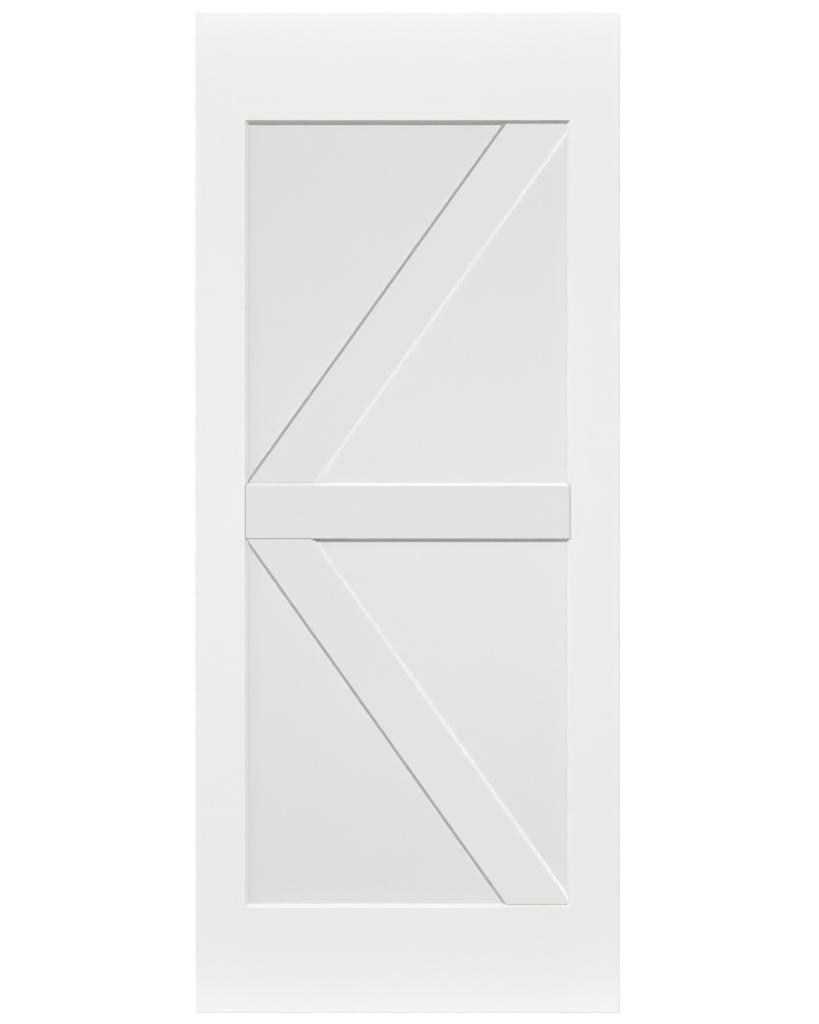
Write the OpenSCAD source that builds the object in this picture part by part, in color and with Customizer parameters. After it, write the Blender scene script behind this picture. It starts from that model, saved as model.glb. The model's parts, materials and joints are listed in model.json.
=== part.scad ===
// White painted sliding door slab with a K of two braces and a middle rail
// Millimetres, front face towards -Y, foot of the door at z = 0, middle of the width at x = 0

/* [Slab] */

// Width of the slab over both stiles
door_w = 906; // [760:1:1100]
// Height of the slab
door_h = 2134; // [1980:1:2440]
// Thickness of the stiles and rails
door_t = 35; // [34:0.5:46]
// Width of the small flat that eases the outer edges
eased_edge = 1.5; // [0.5:0.25:3]

/* [Frame] */

// Width of each stile, measured on its face
stile_w = 106; // [90:1:150]
// Height of the top rail, measured on its face
top_rail_h = 230; // [150:1:280]
// Height of the middle rail, measured on its face
mid_rail_h = 112; // [90:1:180]
// Height of the bottom rail, measured on its face
bottom_rail_h = 224; // [150:1:280]
// Height of the middle rail's centre line above the foot of the door
mid_rail_z = 1068; // [960:1:1180]
// Width of the 45 degree bevel along the inner edges and the braces
bevel = 7; // [3:0.5:8]

/* [Panels] */

// Thickness of each panel over its field
panel_t = 18; // [14:0.5:20]
// Thickness of the tongue round a panel and on a rail's ends
tongue_t = 10; // [7:0.5:11]
// Depth of the groove that takes the tongues
groove_d = 12; // [8:0.5:16]
// Room left between a panel's tongue and the bottom of its groove
panel_play = 2; // [1:0.25:4]
// Room left between a rail's tongue and the bottom of its groove
tongue_play = 0.5; // [0.25:0.25:2]
// Gap on each face of a tongue in its groove
groove_fit = 0.1; // [0.05:0.05:0.3]
// Gap between a panel's field and the inner edges of the frame
field_gap = 0.2; // [0.1:0.1:0.6]

/* [Braces] */

// Width of a brace over both bevels
brace_w = 125; // [90:1:150]
// Distance from the far corner to where a brace's long edge meets the stile
brace_landing = 12.5; // [4:0.5:30]
// Hairline left open at the ends of the middle rail and the braces
open_joint = 0.8; // [0.3:0.1:1]

/* [Dowels] */

// Diameter of the dowels in the frame joints
dowel_d = 10; // [8:0.5:12]
// Length of a dowel
dowel_l = 100; // [70:1:130]
// Gap all round a dowel in its bore, for glue
dowel_fit = 0.05; // [0.05:0.05:0.15]
// Room left beyond each end of a dowel
dowel_room = 2; // [1:0.5:4]
// Length of the taper on each end of a dowel
dowel_taper = 2; // [1:0.5:3]
// Distance from a rail's solid edge to the nearest dowel
dowel_edge = 26; // [18:1:30]
// Number of dowels in each end of the top and bottom rails
wide_rail_count = 3; // [2:1:4]
// Number of dowels in each end of the middle rail
mid_rail_count = 2; // [2:1:3]

/* [Guide slot] */

// Width of the slot in the foot that runs over the floor guide
guide_slot_w = 12; // [11.5:0.5:16]
// Depth of that slot
guide_slot_d = 20; // [12:1:28]

/* [Hidden] */

$fn = 48;
spill = 1;
face_y = door_t / 2;
foot_y = face_y - bevel;
panel_y = panel_t / 2;
tongue_y = tongue_t / 2;
groove_y = tongue_y + groove_fit;
edge_x = door_w / 2;
arris_x = edge_x - stile_w;
foot_x = arris_x - bevel;
joint_x = foot_x + groove_d;
top_arris_z = door_h - top_rail_h;
top_foot_z = top_arris_z - bevel;
mid_top_arris_z = mid_rail_z + mid_rail_h / 2;
mid_top_foot_z = mid_top_arris_z + bevel;
mid_bottom_arris_z = mid_rail_z - mid_rail_h / 2;
mid_bottom_foot_z = mid_bottom_arris_z - bevel;
bottom_arris_z = bottom_rail_h;
bottom_foot_z = bottom_arris_z + bevel;
panel_hold = groove_d - panel_play;
// An even hairline along a bevel is wider across the face than square to it, and starts nearer the face
face_widen = sqrt(2);
foot_shift = sqrt(2) - 1;
dowel_bore_r = dowel_d / 2 + dowel_fit;
frame_white = [0.94, 0.94, 0.93];
infill_white = [0.89, 0.89, 0.88];
dowel_beech = [0.80, 0.66, 0.46];

// Heights of the dowels in one rail, spread evenly over its solid wood
function dowel_heights(low, high, count) =
    [for (i = [0 : count - 1]) low + dowel_edge + i * (high - low - 2 * dowel_edge) / (count - 1)];

top_dowel_z = dowel_heights(top_foot_z + groove_d, door_h, wide_rail_count);
mid_dowel_z = dowel_heights(mid_bottom_foot_z + groove_d, mid_top_foot_z - groove_d, mid_rail_count);
bottom_dowel_z = dowel_heights(guide_slot_d, bottom_foot_z - groove_d, wide_rail_count);

// Slope of a brace whose edges run from one stile to the other over a given rise
function brace_slope(rise) =
    atan2(rise, 2 * arris_x) + asin(brace_w / norm([2 * arris_x, rise]));

// Lays a profile drawn across x and y upright, from one height to another
module stand(low, high) {
    translate([0, 0, low])
        linear_extrude(height = high - low)
            children();
}

// Lays a profile drawn across y and z along the width, to the same length on both sides
module lay(half_length) {
    rotate([90, 0, 90])
        linear_extrude(height = 2 * half_length, center = true)
            children();
}

// Whole slab with its outer edges eased on both faces
module slab_outline() {
    intersection() {
        stand(0, door_h)
            polygon([
                [-edge_x, -face_y + eased_edge], [-edge_x + eased_edge, -face_y],
                [edge_x - eased_edge, -face_y], [edge_x, -face_y + eased_edge],
                [edge_x, face_y - eased_edge], [edge_x - eased_edge, face_y],
                [-edge_x + eased_edge, face_y], [-edge_x, face_y - eased_edge]
            ]);
        lay(edge_x)
            polygon([
                [-face_y, eased_edge], [-face_y + eased_edge, 0],
                [face_y - eased_edge, 0], [face_y, eased_edge],
                [face_y, door_h - eased_edge], [face_y - eased_edge, door_h],
                [-face_y + eased_edge, door_h], [-face_y, door_h - eased_edge]
            ]);
    }
}

// Slot along the foot of the door, right through both stiles
module guide_slot() {
    translate([-edge_x - spill, -guide_slot_w / 2, -spill])
        cube([2 * (edge_x + spill), guide_slot_w, guide_slot_d + spill]);
}

// Bores for the dowels of one right-hand joint, from the rail's end to the stile
module dowel_bores(heights) {
    for (z = heights)
        translate([joint_x - dowel_l / 2 - dowel_room, 0, z])
            rotate([0, 90, 0])
                cylinder(h = dowel_l + 2 * dowel_room, r = dowel_bore_r);
}

// The same bores at both ends of a rail
module rail_bores(heights) {
    dowel_bores(heights);
    mirror([1, 0, 0])
        dowel_bores(heights);
}

// Right-hand stile, bevelled and grooved along its inner edge
module stile() {
    difference() {
        intersection() {
            slab_outline();
            stand(0, door_h)
                polygon([
                    [edge_x, -face_y], [edge_x, face_y],
                    [arris_x, face_y], [foot_x, foot_y],
                    [foot_x, groove_y], [joint_x, groove_y],
                    [joint_x, -groove_y], [foot_x, -groove_y],
                    [foot_x, -foot_y], [arris_x, -face_y]
                ]);
        }
        guide_slot();
        dowel_bores(top_dowel_z);
        dowel_bores(mid_dowel_z);
        dowel_bores(bottom_dowel_z);
    }
}

// Length of a rail seen from above, its ends cut over the stiles' bevels with a tongue in each groove
module rail_length(low, high, gap) {
    shoulder_x = foot_x - gap;
    shoulder_y = foot_y + gap * foot_shift;
    tongue_x = joint_x - tongue_play;
    end_x = arris_x - gap * face_widen;
    stand(low, high)
        polygon([
            [end_x, -face_y], [shoulder_x, -shoulder_y],
            [shoulder_x, -tongue_y], [tongue_x, -tongue_y],
            [tongue_x, tongue_y], [shoulder_x, tongue_y],
            [shoulder_x, shoulder_y], [end_x, face_y],
            [-end_x, face_y], [-shoulder_x, shoulder_y],
            [-shoulder_x, tongue_y], [-tongue_x, tongue_y],
            [-tongue_x, -tongue_y], [-shoulder_x, -tongue_y],
            [-shoulder_x, -shoulder_y], [-end_x, -face_y]
        ]);
}

module left_stile() {
    color(frame_white)
        mirror([1, 0, 0])
            stile();
}

module right_stile() {
    color(frame_white)
        stile();
}

// Top rail, bevelled and grooved along its lower edge
module top_rail() {
    color(frame_white)
        difference() {
            intersection() {
                slab_outline();
                rail_length(top_foot_z, door_h, 0);
                lay(edge_x)
                    polygon([
                        [-face_y, door_h], [-face_y, top_arris_z],
                        [-foot_y, top_foot_z], [-groove_y, top_foot_z],
                        [-groove_y, top_foot_z + groove_d], [groove_y, top_foot_z + groove_d],
                        [groove_y, top_foot_z], [foot_y, top_foot_z],
                        [face_y, top_arris_z], [face_y, door_h]
                    ]);
            }
            rail_bores(top_dowel_z);
        }
}

// Middle rail, bevelled and grooved along both edges
module mid_rail() {
    color(infill_white)
        difference() {
            intersection() {
                rail_length(mid_bottom_foot_z, mid_top_foot_z, open_joint);
                lay(edge_x)
                    polygon([
                        [-face_y, mid_top_arris_z], [-face_y, mid_bottom_arris_z],
                        [-foot_y, mid_bottom_foot_z], [-groove_y, mid_bottom_foot_z],
                        [-groove_y, mid_bottom_foot_z + groove_d], [groove_y, mid_bottom_foot_z + groove_d],
                        [groove_y, mid_bottom_foot_z], [foot_y, mid_bottom_foot_z],
                        [face_y, mid_bottom_arris_z], [face_y, mid_top_arris_z],
                        [foot_y, mid_top_foot_z], [groove_y, mid_top_foot_z],
                        [groove_y, mid_top_foot_z - groove_d], [-groove_y, mid_top_foot_z - groove_d],
                        [-groove_y, mid_top_foot_z], [-foot_y, mid_top_foot_z]
                    ]);
            }
            rail_bores(mid_dowel_z);
        }
}

// Bottom rail, bevelled and grooved along its upper edge, slotted along its foot
module bottom_rail() {
    color(frame_white)
        difference() {
            intersection() {
                slab_outline();
                rail_length(0, bottom_foot_z, 0);
                lay(edge_x)
                    polygon([
                        [-face_y, 0], [face_y, 0],
                        [face_y, bottom_arris_z], [foot_y, bottom_foot_z],
                        [groove_y, bottom_foot_z], [groove_y, bottom_foot_z - groove_d],
                        [-groove_y, bottom_foot_z - groove_d], [-groove_y, bottom_foot_z],
                        [-foot_y, bottom_foot_z], [-face_y, bottom_arris_z]
                    ]);
            }
            guide_slot();
            rail_bores(bottom_dowel_z);
        }
}

// Flat panel between two rails, with a thinner tongue all round that is held in the grooves
module panel_sheet(low_foot, high_foot) {
    field_x = foot_x - field_gap;
    field_low = low_foot + field_gap;
    field_high = high_foot - field_gap;
    tongue_x = foot_x + panel_hold;
    tongue_low = low_foot - panel_hold;
    tongue_high = high_foot + panel_hold;
    union() {
        translate([-field_x, -panel_y, field_low])
            cube([2 * field_x, panel_t, field_high - field_low]);
        translate([-tongue_x, -tongue_y, tongue_low])
            cube([2 * tongue_x, tongue_t, tongue_high - tongue_low]);
    }
}

module upper_panel() {
    color(infill_white)
        panel_sheet(mid_top_foot_z, top_foot_z);
}

module lower_panel() {
    color(infill_white)
        panel_sheet(bottom_foot_z, mid_bottom_foot_z);
}

// Endless bevelled board on the front of a panel, its upper left edge through the origin
module brace_board(slope) {
    reach = door_w + door_h;
    rotate([0, 90 - slope, 0])
        linear_extrude(height = reach, center = true)
            polygon([
                [0, -panel_y], [0, -foot_y],
                [bevel, -face_y], [brace_w - bevel, -face_y],
                [brace_w, -foot_y], [brace_w, -panel_y]
            ]);
}

// Space for a brace between the stiles, following their bevels with a hairline all round
module brace_room(low, high) {
    side_x = foot_x - open_joint;
    side_y = foot_y + open_joint * foot_shift;
    end_x = arris_x - open_joint * face_widen;
    stand(low, high)
        polygon([
            [end_x, -face_y], [side_x, -side_y],
            [side_x, -panel_y], [-side_x, -panel_y],
            [-side_x, -side_y], [-end_x, -face_y]
        ]);
}

// Brace of the upper panel, square cut at the feet of both rails' bevels
module upper_brace() {
    low = mid_top_foot_z + open_joint;
    high = top_foot_z - open_joint;
    intersection() {
        translate([-arris_x, 0, mid_top_foot_z])
            brace_board(brace_slope(top_foot_z - mid_top_foot_z - brace_landing));
        brace_room(low, high);
    }
}

// Brace of the lower panel, its head undercut to lie over the middle rail's bevel
module lower_brace() {
    low = bottom_foot_z + open_joint;
    shoulder_y = foot_y + open_joint * foot_shift;
    shoulder_z = mid_bottom_foot_z - open_joint;
    head_z = mid_bottom_arris_z - open_joint * face_widen;
    intersection() {
        translate([-arris_x, 0, mid_bottom_foot_z])
            mirror([0, 0, 1])
                brace_board(brace_slope(mid_bottom_foot_z - bottom_foot_z - brace_landing));
        brace_room(low, head_z);
        lay(edge_x)
            polygon([
                [-face_y, low], [-panel_y, low],
                [-panel_y, shoulder_z], [-shoulder_y, shoulder_z],
                [-face_y, head_z]
            ]);
    }
}

module front_upper_brace() {
    color(infill_white)
        upper_brace();
}

module front_lower_brace() {
    color(infill_white)
        lower_brace();
}

module rear_upper_brace() {
    color(infill_white)
        mirror([0, 1, 0])
            upper_brace();
}

module rear_lower_brace() {
    color(infill_white)
        mirror([0, 1, 0])
            lower_brace();
}

// One dowel across a right-hand joint, tapered at both ends
module dowel(z) {
    body_l = dowel_l - 2 * dowel_taper;
    tip_r = dowel_d / 2 - dowel_taper / 2;
    translate([joint_x - dowel_l / 2, 0, z])
        rotate([0, 90, 0])
            union() {
                cylinder(h = dowel_taper, r1 = tip_r, r2 = dowel_d / 2);
                translate([0, 0, dowel_taper])
                    cylinder(h = body_l, r = dowel_d / 2);
                translate([0, 0, dowel_taper + body_l])
                    cylinder(h = dowel_taper, r1 = dowel_d / 2, r2 = tip_r);
            }
}

// The dowels at both ends of a rail
module rail_dowels(heights) {
    color(dowel_beech)
        for (z = heights) {
            dowel(z);
            mirror([1, 0, 0])
                dowel(z);
        }
}

module top_rail_dowels() {
    rail_dowels(top_dowel_z);
}

module mid_rail_dowels() {
    rail_dowels(mid_dowel_z);
}

module bottom_rail_dowels() {
    rail_dowels(bottom_dowel_z);
}

left_stile();
right_stile();
top_rail();
mid_rail();
bottom_rail();
upper_panel();
lower_panel();
front_upper_brace();
front_lower_brace();
rear_upper_brace();
rear_lower_brace();
top_rail_dowels();
mid_rail_dowels();
bottom_rail_dowels();
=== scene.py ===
# %% [markdown]
# A white sliding door slab, finished and photographed
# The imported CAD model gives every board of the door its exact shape.
# This script paints the boards, makes the hidden dowels in finer detail, and sets up
# a plain white studio with the camera square in front of the door.

import json
import math

import bpy
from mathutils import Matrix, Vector


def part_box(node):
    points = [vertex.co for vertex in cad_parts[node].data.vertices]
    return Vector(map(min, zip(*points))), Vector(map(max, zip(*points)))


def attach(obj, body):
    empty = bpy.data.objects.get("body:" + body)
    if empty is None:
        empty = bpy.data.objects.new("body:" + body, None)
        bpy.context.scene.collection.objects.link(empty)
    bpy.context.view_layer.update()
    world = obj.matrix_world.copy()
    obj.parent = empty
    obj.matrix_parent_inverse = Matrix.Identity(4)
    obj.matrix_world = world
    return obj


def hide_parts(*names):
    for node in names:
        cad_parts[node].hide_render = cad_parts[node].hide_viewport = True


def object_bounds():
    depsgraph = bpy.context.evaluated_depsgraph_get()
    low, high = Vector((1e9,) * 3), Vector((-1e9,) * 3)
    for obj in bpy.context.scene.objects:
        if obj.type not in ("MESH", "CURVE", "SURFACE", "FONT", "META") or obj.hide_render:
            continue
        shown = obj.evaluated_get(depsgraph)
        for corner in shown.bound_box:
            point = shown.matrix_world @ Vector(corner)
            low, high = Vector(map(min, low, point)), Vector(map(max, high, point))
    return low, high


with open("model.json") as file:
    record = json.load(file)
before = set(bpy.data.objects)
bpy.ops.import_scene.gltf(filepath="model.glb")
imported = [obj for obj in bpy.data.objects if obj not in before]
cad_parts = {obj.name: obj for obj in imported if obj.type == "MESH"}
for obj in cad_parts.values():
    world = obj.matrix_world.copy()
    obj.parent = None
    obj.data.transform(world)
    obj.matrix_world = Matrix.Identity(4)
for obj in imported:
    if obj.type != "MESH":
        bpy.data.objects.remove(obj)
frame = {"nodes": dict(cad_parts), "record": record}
box_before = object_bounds()
nodes = frame["nodes"]
print("loaded", len(nodes), "CAD nodes")

# %% [markdown]
# Step 1: sizes read from the CAD
# The real door is a glued slab whose boards meet along bevels, and paint and lamps have to know
# where those bevels begin and end. The sizes could be typed in again here, but then the scene
# would be wrong as soon as the part is resized. So they are measured on the CAD meshes.

# %% Read the door's size
door_low, door_high = (Vector(corner) for corner in box_before)
door_width = door_high.x - door_low.x
door_depth = door_high.y - door_low.y
door_height = door_high.z - door_low.z
front_y = door_low.y
print("door", round(door_width, 3), "by", round(door_height, 3), "m")

# %% Read the slant of the braces
long_run = 0.2
level_slack = 0.0005


def brace_direction(name):
    """Angle of a brace's long edges from the horizontal, in the plane of the door."""
    mesh = nodes[name].data
    longest = max(
        (mesh.vertices[a].co - mesh.vertices[b].co for a, b in (e.vertices for e in mesh.edges)),
        key=lambda edge: edge.length if abs(edge.x) > long_run and abs(edge.y) < level_slack else 0.0,
    )
    return math.atan2(longest.z, longest.x)


upper_angle = brace_direction("front_upper_brace")
lower_angle = brace_direction("front_lower_brace")
print("brace edges at", [round(math.degrees(angle), 1) for angle in (upper_angle, lower_angle)], "degrees")

# %% Read where faces end and bevels begin
face_slack = 0.0001
height_slack = 0.001


def face_corners(name):
    """The corners of a board that lie in its front face."""
    points = [vertex.co for vertex in nodes[name].data.vertices]
    foremost = min(point.y for point in points)
    return [point for point in points if point.y < foremost + face_slack]


arris_x = -max(corner.x for corner in face_corners("left_stile"))
inner_x = -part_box("left_stile")[1][0]
brace_face = face_corners("front_lower_brace")
head_z = max(corner.z for corner in brace_face)
head_right_x = max(corner.x for corner in brace_face if corner.z > head_z - height_slack)
foot_z = min(corner.z for corner in brace_face)
foot_left_x = min(corner.x for corner in brace_face if corner.z < foot_z + height_slack)
print("stiles' faces end at", round(arris_x, 4), "and their bevels at", round(inner_x, 4))
print("lower brace: head ends at", round(head_right_x, 4), "foot starts at", round(foot_left_x, 4))

# %% [markdown]
# Step 2: a small language for shader maths
# Every finish below is a sum of simple patterns, as a coat of paint is a sum of pigment, roller
# marks and orange peel. The sums could be wired by hand in the node editor, but dozens of Math
# nodes are hard to read. So one class wraps a socket and gives it Python's operators, and a
# material reads like a formula. A plain number may stand on either side.
# One method adds every other kind of node: its type, its settings, then its sockets.

# %% Sockets with operators


class Value:
    """An output socket that can be added, multiplied and so on."""

    def __init__(self, recipe, socket):
        self.recipe = recipe
        self.socket = socket

    def maths(self, operation, first, second):
        """A Math node on two values or numbers."""
        return self.recipe.add("ShaderNodeMath", {"operation": operation}, {0: first, 1: second})

    def __add__(self, other):
        return self.maths("ADD", self, other)

    def __radd__(self, other):
        return self.maths("ADD", other, self)

    def __sub__(self, other):
        return self.maths("SUBTRACT", self, other)

    def __rsub__(self, other):
        return self.maths("SUBTRACT", other, self)

    def __mul__(self, other):
        return self.maths("MULTIPLY", self, other)

    def __rmul__(self, other):
        return self.maths("MULTIPLY", other, self)

    def __lt__(self, other):
        return self.maths("LESS_THAN", self, other)

    def __gt__(self, other):
        return self.maths("GREATER_THAN", self, other)

    def __abs__(self):
        return self.maths("ABSOLUTE", self, 0.0)


print("sockets can be added, subtracted, multiplied and compared")

# %% A material as a recipe


class Recipe:
    """One material and its nodes."""

    def __init__(self, name):
        self.material = bpy.data.materials.new(name)
        self.material.use_nodes = True
        self.tree = self.material.node_tree
        self.shader = self.tree.nodes["Principled BSDF"]

    def add(self, kind, settings=None, sockets=None, output=0):
        """A new node: its type, its settings, its sockets, and which output to go on with."""
        node = self.tree.nodes.new(kind)
        for key, value in (settings or {}).items():
            setattr(node, key, value)
        for key, value in (sockets or {}).items():
            self.feed(node.inputs[key], value)
        return Value(self, node.outputs[output])

    def split(self, vector):
        """The X, Y and Z of a vector, as three values."""
        node = self.add("ShaderNodeSeparateXYZ", {}, {0: vector}).socket.node
        return [Value(self, output) for output in node.outputs]

    def feed(self, socket, value):
        """Links a value to a socket, or sets a plain number or colour on it."""
        if isinstance(value, Value):
            self.tree.links.new(value.socket, socket)
        else:
            socket.default_value = value

    def set(self, **sockets):
        """Feeds the shader's own sockets, with _ for a space in their names."""
        for key, value in sockets.items():
            self.feed(self.shader.inputs[key.replace("_", " ")], value)


print("recipes ready")

# %% [markdown]
# Step 3: patterns shared by the finishes
# Paint on board is never quite even: its tone drifts, and a roller leaves faint streaks along its
# way. These could be painted as pictures, but a picture has one size and can't follow a resized
# door. A noise sampled in metres, in Object coordinates, stays true at any size, and turning and
# stretching it along a board gives the streaks their direction.

# %% Pattern helpers
mix_first_colour = 6
mix_second_colour = 7
mix_colour_result = 2


def place(recipe):
    """Position on the object, in metres."""
    return recipe.add("ShaderNodeTexCoord", output="Object")


def turned(recipe, angle, scale):
    """Position turned so that its first axis runs along a board, then scaled."""
    flat = recipe.add("ShaderNodeMapping", {}, {"Vector": place(recipe), "Rotation": (0.0, angle, 0.0)})
    return recipe.add("ShaderNodeMapping", {}, {"Vector": flat, "Scale": scale})


def noise(recipe, vector, scale, detail=2.0, roughness=0.5):
    """A noise centred on 0.5."""
    sockets = {"Vector": vector, "Scale": scale, "Detail": detail, "Roughness": roughness}
    return recipe.add("ShaderNodeTexNoise", {}, sockets)


def mix_colour(recipe, factor, first, second):
    """A colour between two others."""
    sockets = {"Factor": factor, mix_first_colour: first, mix_second_colour: second}
    return recipe.add("ShaderNodeMix", {"data_type": "RGBA"}, sockets, output=mix_colour_result)


print("pattern helpers ready")

# %% [markdown]
# Step 4: where the board stays bare
# The door is glued up before it is painted, so no paint reaches its joints: the grooves,
# tongues and dowel holes, the cut ends of rails and braces and what they cover, and the
# braces' glued backs. The slot in the foot is cut after painting. Seen through the fine gaps at
# the middle rail's ends, bare board makes the thin dark lines of the real door.
# Those faces could be picked by hand, but a resized part would need it done again. So each
# mask is worked out from where a point lies and which way its face looks: the direction
# tells a cut end from the painted face beside it.

# %% Limits of the joints
joint_margin = 0.0004
back_margin = 0.0002
crack_depth = 0.0053
skin = 0.001
steep = 0.65
slot_corner = frame["record"]["physics"]["openings"][0]["box_m"][1]
slot_half_width = slot_corner[1] + joint_margin
slot_depth = slot_corner[2] + joint_margin
core_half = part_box("top_rail_dowels")[1][1] + joint_margin
brace_back = abs(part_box("front_upper_brace")[1][1]) + back_margin
crack_y = door_depth / 2 - crack_depth
print("slot", round(2 * slot_half_width, 4), "wide, core", round(2 * core_half, 4), "thick")

# %% Masks of bare frame boards


def facing(recipe):
    """The direction that the surface faces."""
    return recipe.add("ShaderNodeTexCoord", output="Normal")


def inside_joints(x, y, z):
    """The slot, and every groove, tongue and hole in the core of the slab."""
    core = (abs(y) < core_half) * (abs(x) < door_width / 2 - skin) * (z < door_height - skin)
    slot = (abs(y) < slot_half_width) * (z < slot_depth)
    return core + slot


def bare_stile(recipe):
    """The joints, and the bevel where a rail's end covers it."""
    x, y, z = recipe.split(place(recipe))
    side, _, _ = recipe.split(facing(recipe))
    depth = arris_x - abs(x)
    covered = 0.0
    for rail in ("top_rail", "mid_rail", "bottom_rail"):
        heights = [corner.z for corner in face_corners(rail)]
        middle = (min(heights) + max(heights)) / 2
        half_height = (max(heights) - min(heights)) / 2
        covered = covered + (abs(z - middle) < depth + half_height)
    return inside_joints(x, y, z) + covered * (abs(side) > steep) * (abs(x) < arris_x + skin)


def bare_rail(recipe):
    """The joints, the cut ends, and the bevels where the lower brace's head and foot cover them."""
    x, y, z = recipe.split(place(recipe))
    side, _, up = recipe.split(facing(recipe))
    ends = (abs(side) > steep) * (abs(x) > inner_x - skin)
    middle = (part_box("mid_rail")[0][2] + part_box("mid_rail")[1][2]) / 2
    under_head = (up < -steep) * (x < head_right_x) * (abs(z - middle) < middle - head_z + skin)
    behind_foot = (up > steep) * (x > foot_left_x) * (z < foot_z) * (abs(y) < crack_y)
    return inside_joints(x, y, z) + ends + under_head + behind_foot


print("masks ready for stiles and rails")

# %% Masks of bare panels and braces


def bare_sheet(recipe):
    """The tongue round a panel."""
    x, y, z = recipe.split(place(recipe))
    return inside_joints(x, y, z)


def bare_upper_brace(recipe):
    """The glued back, the cut foot, and the tips cut over the stiles' bevels."""
    x, y, _ = recipe.split(place(recipe))
    side, _, up = recipe.split(facing(recipe))
    return (abs(y) < brace_back) + (up < -steep) + (abs(side) > steep) * (abs(x) > inner_x - skin)


def bare_lower_brace(recipe):
    """The same, and the head cut over the middle rail's bevel."""
    _, _, up = recipe.split(facing(recipe))
    return bare_upper_brace(recipe) + (up > steep)


print("masks ready for panels and braces")

# %% [markdown]
# Step 5: satin white paint
# Sprayed and rolled paint on fibreboard is almost even. What gives it away up close is a
# fine orange peel, long streaks along each board, a slow drift in tone and small
# differences in gloss. Bare board is a dusty brown, flecked with fibres, and dull.
# One flat white would look like plastic, so four noises of very different sizes feed colour,
# roughness and bump together, and one function makes every coat from its tones and its direction.

# %% Sizes and tones of the paint
drift_scale = 1.7
streak_scale = (3.0, 60.0, 150.0)
peel_scale = 520.0
speck_scale = 1900.0
fibre_dark = (0.21, 0.16, 0.115, 1.0)
fibre_light = (0.33, 0.26, 0.19, 1.0)
drift_in_tone = 0.6
streaks_in_tone = 0.4
satin = 0.50
drift_in_gloss = 0.10
peel_in_gloss = 0.06
board_in_gloss = 0.3
paint_specular = 0.3
peel_depth = 0.6
speck_depth = 0.1
bump_strength = 0.22
bump_height = 0.0004
print("orange peel", round(1000 / peel_scale, 1), "mm, fibres", round(1000 / speck_scale, 1), "mm")

# %% Paint


def paint(name, tones, angle, streak_depth, bare_where):
    """Satin paint whose streaks run at an angle in the plane of the door."""
    light, dark = tones
    recipe = Recipe(name)
    drift = noise(recipe, place(recipe), drift_scale, detail=3.0)
    streaks = noise(recipe, turned(recipe, angle, streak_scale), scale=1.0, detail=4.0, roughness=0.6)
    peel = noise(recipe, place(recipe), peel_scale, detail=2.0)
    specks = noise(recipe, place(recipe), speck_scale, detail=1.0)
    tone = drift_in_tone * drift + streaks_in_tone * streaks
    bare = bare_where(recipe) > 0.5
    fibre = mix_colour(recipe, specks, fibre_dark, fibre_light)
    colour = mix_colour(recipe, bare, mix_colour(recipe, tone, dark, light), fibre)
    gloss = satin + drift_in_gloss * drift + peel_in_gloss * peel + board_in_gloss * bare
    height = streak_depth * streaks + peel_depth * peel + speck_depth * specks
    sockets = {"Strength": bump_strength, "Distance": bump_height, "Height": height}
    bump = recipe.add("ShaderNodeBump", {}, sockets)
    recipe.set(Base_Color=colour, Roughness=gloss, Specular_IOR_Level=paint_specular, Normal=bump)
    return recipe.material


frame_tones = ((0.885, 0.885, 0.875, 1.0), (0.856, 0.857, 0.849, 1.0))
# The middle rail's and braces' white is a darker copy of the frame's white: painted shade, where the real
# door has one paint.
infill_shaded_tones = ((0.858, 0.861, 0.850, 1.0), (0.828, 0.832, 0.822, 1.0))
# The panels' white is darker still: painted shade, lifted again in their middles by the light of their own
# panel lamps.
sheet_painted_shade_tones = ((0.732, 0.735, 0.724, 1.0), (0.704, 0.708, 0.698, 1.0))
upright = math.radians(90.0)
level = 0.0
rolled = 0.5
sprayed = 0.15
coat_choices = {
    "upright_paint": (frame_tones, upright, rolled, bare_stile),
    "level_paint": (frame_tones, level, rolled, bare_rail),
    "infill_level": (infill_shaded_tones, level, rolled, bare_rail),
    "infill_sheet": (sheet_painted_shade_tones, upright, sprayed, bare_sheet),
    "infill_rising": (infill_shaded_tones, upper_angle, rolled, bare_upper_brace),
    "infill_falling": (infill_shaded_tones, lower_angle, rolled, bare_lower_brace),
}
paints = {name: paint(name, *choice) for name, choice in coat_choices.items()}
print("made", len(paints), "paints")

# %% [markdown]
# Step 6: paint the boards
# A painter rolls along each board, so stiles are streaked upright, rails level, and braces along
# their slant. New meshes could be modelled for the boards, but the CAD shapes are already exact,
# with every bevel and cut. So every CAD node keeps its mesh and takes the paint that runs along it.

# %% Paint the boards
coats = {
    "left_stile": "upright_paint",
    "right_stile": "upright_paint",
    "top_rail": "level_paint",
    "bottom_rail": "level_paint",
    "mid_rail": "infill_level",
    "upper_panel": "infill_sheet",
    "lower_panel": "infill_sheet",
    "front_upper_brace": "infill_rising",
    "rear_upper_brace": "infill_rising",
    "front_lower_brace": "infill_falling",
    "rear_lower_brace": "infill_falling",
}


def give(obj, material):
    """Sets the material of all an object's slots, and makes one where it has none."""
    if not obj.material_slots:
        obj.data.materials.append(material)
    for slot in obj.material_slots:
        slot.material = material


for name, coat in coats.items():
    give(nodes[name], paints[coat])
print("painted", len(coats), "boards")

# %% [markdown]
# Step 7: beech for the dowels
# The dowels are hidden once the door is glued up, but the part can be taken apart.
# Beech has a warm pale tone, fine grain along the pin and short dark flecks. A picture of wood
# would need unwrapping round each small pin. Two noises stretched along the pin's axis need none:
# one is the grain, and the peaks of the other are the flecks.

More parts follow.
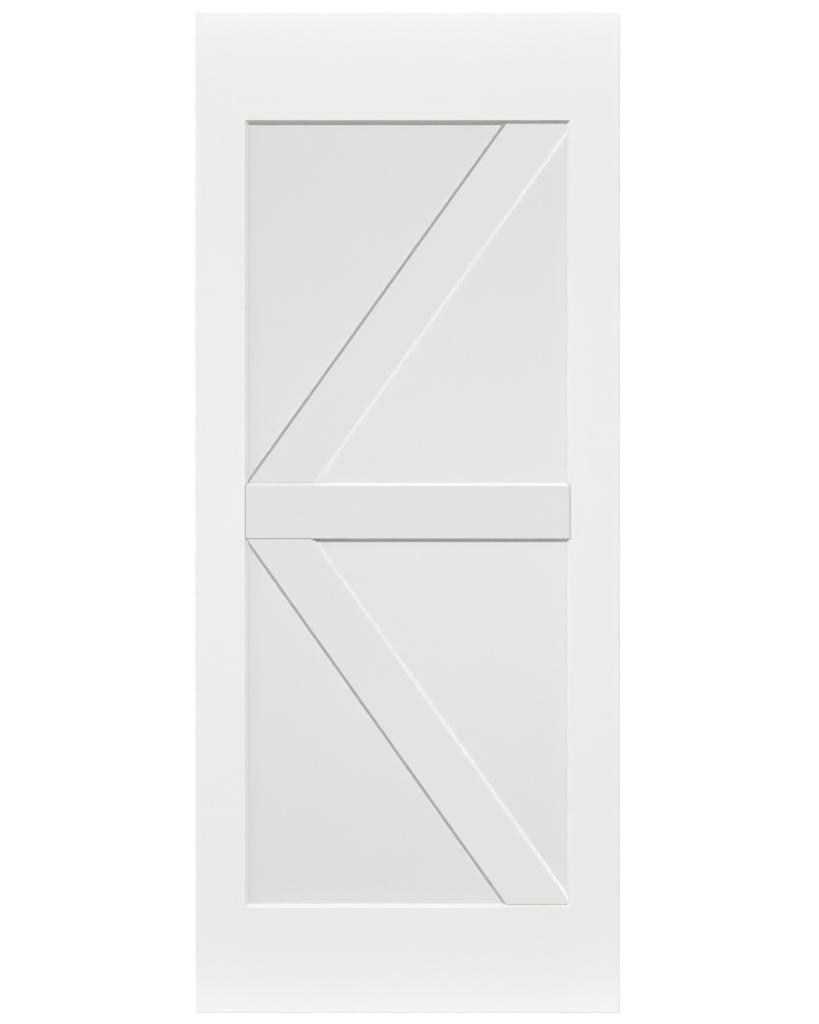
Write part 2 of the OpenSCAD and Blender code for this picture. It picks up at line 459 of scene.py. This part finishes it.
# %% Beech
grain_scale = (25.0, 420.0, 420.0)
fleck_scale = (140.0, 1400.0, 1400.0)
fleck_threshold = 0.63
fleck_weight = 0.45
beech_dark = (0.52, 0.34, 0.18, 1.0)
beech_pale = (0.80, 0.62, 0.40, 1.0)
fleck_brown = (0.36, 0.21, 0.10, 1.0)
beech = Recipe("beech")
grain = noise(beech, turned(beech, level, grain_scale), scale=1.0, detail=5.0, roughness=0.65)
flecks = noise(beech, turned(beech, level, fleck_scale), scale=1.0, detail=1.0)
wood = mix_colour(beech, grain, beech_dark, beech_pale)
marked = mix_colour(beech, (flecks > fleck_threshold) * fleck_weight, wood, fleck_brown)
wood_bump = beech.add("ShaderNodeBump", {}, {"Strength": 0.3, "Distance": 0.0003, "Height": grain})
beech.set(Base_Color=marked, Roughness=0.55 + 0.15 * grain, Normal=wood_bump)
print("made beech")

# %% [markdown]
# Step 8: fluted dowels with Geometry Nodes
# A dowel is a short pin driven into both boards of a joint, and its grooves let glue and air escape.
# Sixteen copies of a modelled pin would do, but a door of another size would need them placed again.
# A joint's dowels are one pin repeated up the rail's end, so a node group with named sizes makes
# them: the pin is a star swept along a line and narrowed at its ends, and it stands on every point
# of two columns. Each pin is rolled by a random angle with a fixed seed, as pins from a bag are.

# %% Inputs of the dowel group
group = bpy.data.node_groups.new("Fluted dowels", "GeometryNodeTree")
group_inputs = [
    ("Count", "NodeSocketInt", 3),
    ("First Height", "NodeSocketFloat", 0.05),
    ("Spacing", "NodeSocketFloat", 0.07),
    ("Joint X", "NodeSocketFloat", 0.35),
    ("Diameter", "NodeSocketFloat", 0.01),
    ("Length", "NodeSocketFloat", 0.1),
    ("Flutes", "NodeSocketInt", 16),
    ("Flute Depth", "NodeSocketFloat", 0.0004),
    ("Seed", "NodeSocketInt", 4),
    ("Material", "NodeSocketMaterial", None),
]
for label, kind, default in group_inputs:
    socket = group.interface.new_socket(label, in_out="INPUT", socket_type=kind)
    if default is not None:
        socket.default_value = default
group.interface.new_socket("Geometry", in_out="OUTPUT", socket_type="NodeSocketGeometry")
given = group.nodes.new("NodeGroupInput")
result = group.nodes.new("NodeGroupOutput")
value_of = given.outputs
print("dowel group has", len(group_inputs), "inputs")

# %% Helpers for the dowel group


def step(kind, settings=None, sockets=None):
    """Adds a node to the group: its type, its settings, then its sockets."""
    node = group.nodes.new(kind)
    for key, value in (settings or {}).items():
        setattr(node, key, value)
    for key, value in (sockets or {}).items():
        if isinstance(value, bpy.types.NodeSocket):
            group.links.new(value, node.inputs[key])
        else:
            node.inputs[key].default_value = value
    return node


def number(operation, first, second):
    """One sum on two numbers or sockets."""
    return step("ShaderNodeMath", {"operation": operation}, {0: first, 1: second}).outputs[0]


def point(x, y, z):
    """A vector from three numbers or sockets."""
    return step("ShaderNodeCombineXYZ", None, {"X": x, "Y": y, "Z": z}).outputs[0]


print("node helpers ready")

# %% One fluted pin
pin_rings = 51
taper_rate = 10.0
end_size = 0.8
half = number("MULTIPLY", value_of["Length"], 0.5)
outer = number("MULTIPLY", value_of["Diameter"], 0.5)
inner = number("SUBTRACT", outer, value_of["Flute Depth"])
line = step(
    "GeometryNodeCurvePrimitiveLine",
    None,
    {"Start": point(number("MULTIPLY", half, -1.0), 0.0, 0.0), "End": point(half, 0.0, 0.0)},
)
points = step("GeometryNodeResampleCurve", None, {"Curve": line.outputs[0], "Count": pin_rings})
along = step("GeometryNodeSplineParameter").outputs["Factor"]
from_end = number("MINIMUM", along, number("SUBTRACT", 1.0, along))
swell = number("MINIMUM", number("ADD", number("MULTIPLY", from_end, taper_rate), end_size), 1.0)
tapered = step("GeometryNodeSetCurveRadius", None, {"Curve": points.outputs[0], "Radius": swell})
star = step(
    "GeometryNodeCurveStar",
    None,
    {"Points": value_of["Flutes"], "Inner Radius": inner, "Outer Radius": outer},
)
pin = step(
    "GeometryNodeCurveToMesh",
    None,
    {"Curve": tapered.outputs[0], "Profile Curve": star.outputs[0], "Fill Caps": True},
)
print("the pin has", pin_rings, "rings")

# %% Two columns of pins
rise = point(0.0, 0.0, value_of["Spacing"])
columns = step("GeometryNodeJoinGeometry")
for side in (-1.0, 1.0):
    foot = point(number("MULTIPLY", value_of["Joint X"], side), 0.0, value_of["First Height"])
    column = step(
        "GeometryNodeMeshLine",
        None,
        {"Count": value_of["Count"], "Start Location": foot, "Offset": rise},
    )
    group.links.new(column.outputs[0], columns.inputs[0])
roll_low = 2
roll_high = 3
roll_angle = 1
roll = step(
    "FunctionNodeRandomValue",
    {"data_type": "FLOAT"},
    {roll_low: 0.0, roll_high: 2.0 * math.pi, "Seed": value_of["Seed"]},
)
rolled_by = point(roll.outputs[roll_angle], 0.0, 0.0)
pins = step(
    "GeometryNodeInstanceOnPoints",
    None,
    {"Points": columns.outputs[0], "Instance": pin.outputs[0], "Rotation": rolled_by},
)
solid = step("GeometryNodeRealizeInstances", None, {0: pins.outputs[0]})
finished = step(
    "GeometryNodeSetMaterial", None, {"Geometry": solid.outputs[0], "Material": value_of["Material"]}
)
group.links.new(finished.outputs[0], result.inputs[0])
print("dowel group has", len(group.nodes), "nodes")

# %% [markdown]
# Step 9: put the dowels in their joints
# Each end of a rail is glued to its stile with two or three pins. The node group could stay live
# as a modifier, but a plain mesh comes out the same wherever the door is exported to. So each set
# reads its place from the CAD node it stands for, is made into a mesh, and rides with the door.

# %% Make the dowels


def dowel_set(name, count, seed):
    """The fluted pins of one rail, in place of the plain ones."""
    low, high = (Vector(corner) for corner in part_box(name))
    diameter = high.y - low.y
    right = [v.co.x for v in nodes[name].data.vertices if v.co.x > 0.0]
    holder = bpy.data.objects.new("holder", bpy.data.meshes.new("holder"))
    bpy.context.scene.collection.objects.link(holder)
    modifier = holder.modifiers.new("Dowels", "NODES")
    modifier.node_group = group
    values = {
        "Count": count,
        "First Height": low.z + diameter / 2,
        "Spacing": (high.z - low.z - diameter) / (count - 1),
        "Joint X": (min(right) + max(right)) / 2,
        "Diameter": diameter,
        "Length": max(right) - min(right),
        "Seed": seed,
        "Material": beech.material,
    }
    for item in group.interface.items_tree:
        if item.in_out == "INPUT" and item.name in values:
            modifier[item.identifier] = values[item.name]
    depsgraph = bpy.context.evaluated_depsgraph_get()
    mesh = bpy.data.meshes.new_from_object(holder.evaluated_get(depsgraph))
    holder.modifiers.clear()
    bpy.data.objects.remove(holder)
    pins_object = bpy.data.objects.new("fluted_" + name, mesh)
    bpy.context.scene.collection.objects.link(pins_object)
    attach(pins_object, "root")
    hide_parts(name)
    print(pins_object.name, len(mesh.polygons), "faces")


dowel_set("top_rail_dowels", count=3, seed=4)
dowel_set("mid_rail_dowels", count=2, seed=9)
dowel_set("bottom_rail_dowels", count=3, seed=15)

# %% [markdown]
# Step 10: floor and white surroundings
# The photograph is on plain white. White walls could stand round the door, but they would throw
# light into the bevels and wash out their shading. So the world is white to the camera, and lights
# the boards only dimly and a little warmly, as a room does. A pale floor has a lamp of its own and
# throws nothing back.

# %% Floor
reach = 14.0
floor_z = -0.001
corners = ((-reach, -reach), (reach, -reach), (reach, reach), (-reach, reach))
paper_grey = (0.90, 0.90, 0.90, 1.0)
paper_white = (0.92, 0.92, 0.92, 1.0)
floor_mesh = bpy.data.meshes.new("floor")
floor_mesh.from_pydata([(x, y, floor_z) for x, y in corners], [], [(0, 1, 2, 3)])
floor = bpy.data.objects.new("floor", floor_mesh)
bpy.context.scene.collection.objects.link(floor)
floor_paper = Recipe("floor_paper")
floor_tone = noise(floor_paper, place(floor_paper), scale=3.0)
floor_paper.set(
    Base_Color=mix_colour(floor_paper, floor_tone, paper_grey, paper_white),
    Roughness=0.9,
    Specular_IOR_Level=0.0,
)
give(floor, floor_paper.material)
floor.visible_diffuse = False
floor.visible_glossy = False
print("floor", 2 * reach, "m across")

# %% World
warm_fill = (1.0, 0.9, 0.6, 1.0)
fill_strength = 0.067
white = (1.0, 1.0, 1.0, 1.0)
backdrop_strength = 1.05
world = bpy.data.worlds.new("studio")
bpy.context.scene.world = world
world.use_nodes = True
sky = world.node_tree
fill = sky.nodes["Background"]
fill.inputs["Color"].default_value = warm_fill
fill.inputs["Strength"].default_value = fill_strength
backdrop = sky.nodes.new("ShaderNodeBackground")
backdrop.inputs["Color"].default_value = white
backdrop.inputs["Strength"].default_value = backdrop_strength
seen = sky.nodes.new("ShaderNodeLightPath")
either = sky.nodes.new("ShaderNodeMixShader")
sky.links.new(seen.outputs["Is Camera Ray"], either.inputs["Fac"])
sky.links.new(fill.outputs["Background"], either.inputs[1])
sky.links.new(backdrop.outputs["Background"], either.inputs[2])
sky.links.new(either.outputs["Shader"], sky.nodes["World Output"].inputs["Surface"])
bpy.context.scene.view_settings.view_transform = "Standard"
print("world lights the boards at", fill_strength)

# %% [markdown]
# Step 11: studio lamps
# All boards are nearly one white, so the bevels show the door's shape: some are bright lines and
# some dark. One large lamp could light it all, but it can't make a bevel that faces left dark on
# a brace and light on the frame, as here. So both faces have the same set of soft lamps, the suns
# slightly cool against the warm room, and light linking keeps each lamp to its own boards.
# A high sun darkens the bevels that face down and brightens those that face up, and a lower one
# does the same, more gently, for the bottom rail. Suns at the left and right shape the stiles'
# bevels. A small screen brightens the middle of the panels, another the middle of the frame, and
# a strip brightens each end of the slab. The braces have their own sun from the right, which
# darkens their left bevels. Three suns glance along the door, on to single bevels. Those marked
# direct only send no light on from board to board.

# %% Sets of boards


def board_set(name, members):
    """A collection used only to say which boards a lamp reaches."""
    collection = bpy.data.collections.new(name)
    for member in members:
        collection.objects.link(member)
    return collection


brace_names = ["front_upper_brace", "front_lower_brace", "rear_upper_brace", "rear_lower_brace"]
frame_names = [name for name in coats if name not in brace_names]
upper_names = ["left_stile", "right_stile", "top_rail", "upper_panel", "lower_panel"]
outer_names = ["left_stile", "right_stile", "top_rail", "bottom_rail"]
frame_set = board_set("frame boards", [nodes[name] for name in frame_names])
brace_set = board_set("braces", [nodes[name] for name in brace_names])
all_set = board_set("all boards", [nodes[name] for name in coats])
upper_set = board_set("stiles, top rail and panels", [nodes[name] for name in upper_names])
middle_set = board_set("middle rail only", [nodes["mid_rail"]])
bottom_set = board_set("bottom rail only", [nodes["bottom_rail"]])
panel_set = board_set("panels", [nodes["upper_panel"], nodes["lower_panel"]])
outer_set = board_set("outer frame", [nodes[name] for name in outer_names])
floor_set = board_set("floor only", [floor])
rail_set = board_set("rails", [nodes["top_rail"], nodes["mid_rail"], nodes["bottom_rail"]])
right_set = board_set("right stile", [nodes["right_stile"]])
print("frame has", len(frame_names), "boards and", len(brace_names), "braces")

# %% Kinds of lamp
cool_white = (0.991, 1.0, 1.022)
sun_distance = 4.0


def hang(lamp, towards, location, reached, shading):
    """Hangs a lamp so that it shines from a direction, on to some boards and shaded by some."""
    lamp_object = bpy.data.objects.new(lamp.name, lamp)
    lamp_object.rotation_euler = Vector(towards).to_track_quat("Z", "Y").to_euler()
    lamp_object.location = location
    bpy.context.scene.collection.objects.link(lamp_object)
    lamp_object.light_linking.receiver_collection = reached
    lamp_object.light_linking.blocker_collection = shading
    return lamp_object


def sun(name, towards, strength, spread, reached, shading=None, direct_only=False):
    """A far lamp, softer as it spreads more, that lights its boards evenly."""
    lamp = bpy.data.lights.new(name, "SUN")
    lamp.color = cool_white
    lamp.energy = strength
    lamp.angle = math.radians(spread)
    if direct_only:
        lamp.cycles.max_bounces = 0
    hang(lamp, towards, Vector(towards) * sun_distance, reached, shading or reached)


def screen(name, towards, away, size, power, target, reached):
    """A flat lamp near a target, so its light fades across the boards that it reaches."""
    lamp = bpy.data.lights.new(name, "AREA")
    lamp.shape = "RECTANGLE"
    lamp.size, lamp.size_y = size
    lamp.energy = power
    lamp_object = hang(lamp, towards, target + Vector(towards) * away, reached, frame_set)
    lamp_object.visible_camera = False


def direction(azimuth, elevation, face):
    """Unit vector to a lamp: azimuth to the right of a face's own normal, elevation above level."""
    a = math.radians(azimuth)
    e = math.radians(elevation)
    return (math.sin(a) * math.cos(e), face * math.cos(a) * math.cos(e), math.sin(e))


print("suns and screens ready")

# %% Lamps on both faces
soft = 10.0
broad = 30.0
square = (0.3, 0.3)
strip = (1.4, 0.03)
square_away = 1.3
strip_away = 0.12
high_strength = 1.83
foot_strength = 1.61
left_strength = 1.05
right_strength = 0.97
brace_strength = 2.99
panel_power = 3.2
frame_power = 1.4
high_strip_power = 0.11
low_strip_power = 0.16
for side, face in (("front", -1.0), ("rear", 1.0)):
    face_middle = Vector((0.0, face * door_depth / 2, door_height / 2))
    face_top = Vector((0.0, face * door_depth / 2, door_high.z))
    face_foot = Vector((0.0, face * door_depth / 2, door_low.z))
    high = direction(azimuth=0.0, elevation=28.0, face=face)
    low = direction(azimuth=0.0, elevation=14.0, face=face)
    left = direction(azimuth=-66.0, elevation=20.0, face=face)
    right = direction(azimuth=44.0, elevation=27.0, face=face)
    near_panels = direction(azimuth=9.0, elevation=-4.0, face=face)
    near_frame = direction(azimuth=-8.0, elevation=0.0, face=face)
    over_top = direction(azimuth=0.0, elevation=30.0, face=face)
    under_foot = direction(azimuth=0.0, elevation=-30.0, face=face)
    beside_braces = direction(azimuth=28.0, elevation=0.0, face=face)
    sun(side + " top lamp", high, high_strength, soft, upper_set, frame_set)
    sun(side + " middle lamp", high, high_strength, soft, middle_set, frame_set, direct_only=True)
    sun(side + " foot lamp", low, foot_strength, soft, bottom_set, all_set)
    sun(side + " left lamp", left, left_strength, broad, frame_set, direct_only=True)
    sun(side + " right lamp", right, right_strength, broad, frame_set, direct_only=True)
    screen(side + " panel lamp", near_panels, square_away, square, panel_power, face_middle, panel_set)
    screen(side + " frame lamp", near_frame, square_away, square, frame_power, face_middle, outer_set)
    screen(side + " high strip", over_top, strip_away, strip, high_strip_power, face_top, frame_set)
    screen(side + " low strip", under_foot, strip_away, strip, low_strip_power, face_foot, frame_set)
    sun(side + " brace lamp", beside_braces, brace_strength, soft, brace_set, direct_only=True)
print("made", len(bpy.data.lights), "lamps for the two faces")

# %% Lamps for single bevels and for the floor
glancing = 1.0
softer = 20.0
from_left = (-1.0, 0.0, 0.0)
from_above = (0.0, 0.0, 1.0)
stile_glance = 0.34
middle_glance = 0.06
foot_glance = 0.12
floor_strength = 3.6
sun("left glance", from_left, stile_glance, glancing, right_set, rail_set, direct_only=True)
sun("middle glance", from_above, middle_glance, glancing, middle_set, direct_only=True)
sun("foot glance", from_above, foot_glance, glancing, bottom_set, direct_only=True)
sun("floor lamp", from_above, floor_strength, softer, floor_set)
print("made", len(bpy.data.lights), "lamps in all")

# %% [markdown]
# Step 12: camera
# The photograph is square on, with the horizon at mid-height and no convergence. A camera without
# perspective would give that outline, but the bevels near the ends look wider than those in the
# middle, as from about three metres away. So the camera stands there, level, and its lens follows
# from how many pixels high the door is in the picture.

# %% Camera
image_width = 819
image_height = 1024
door_pixels = 1000.5
door_middle_x = 407.7
door_foot_y = 1012.9
distance = 3.0
sensor_height = 24.0
metres_per_pixel = door_height / door_pixels
camera_data = bpy.data.cameras.new("camera")
camera_data.sensor_fit = "VERTICAL"
camera_data.sensor_height = sensor_height
camera_data.lens = distance * sensor_height / (metres_per_pixel * image_height)
camera = bpy.data.objects.new("camera", camera_data)
camera.location = (
    (image_width / 2 - door_middle_x) * metres_per_pixel,
    front_y - distance,
    (door_foot_y - image_height / 2) * metres_per_pixel,
)
camera.rotation_euler = (math.radians(90.0), 0.0, 0.0)
bpy.context.scene.collection.objects.link(camera)
bpy.context.scene.camera = camera
print("camera lens", round(camera_data.lens, 2), "mm")
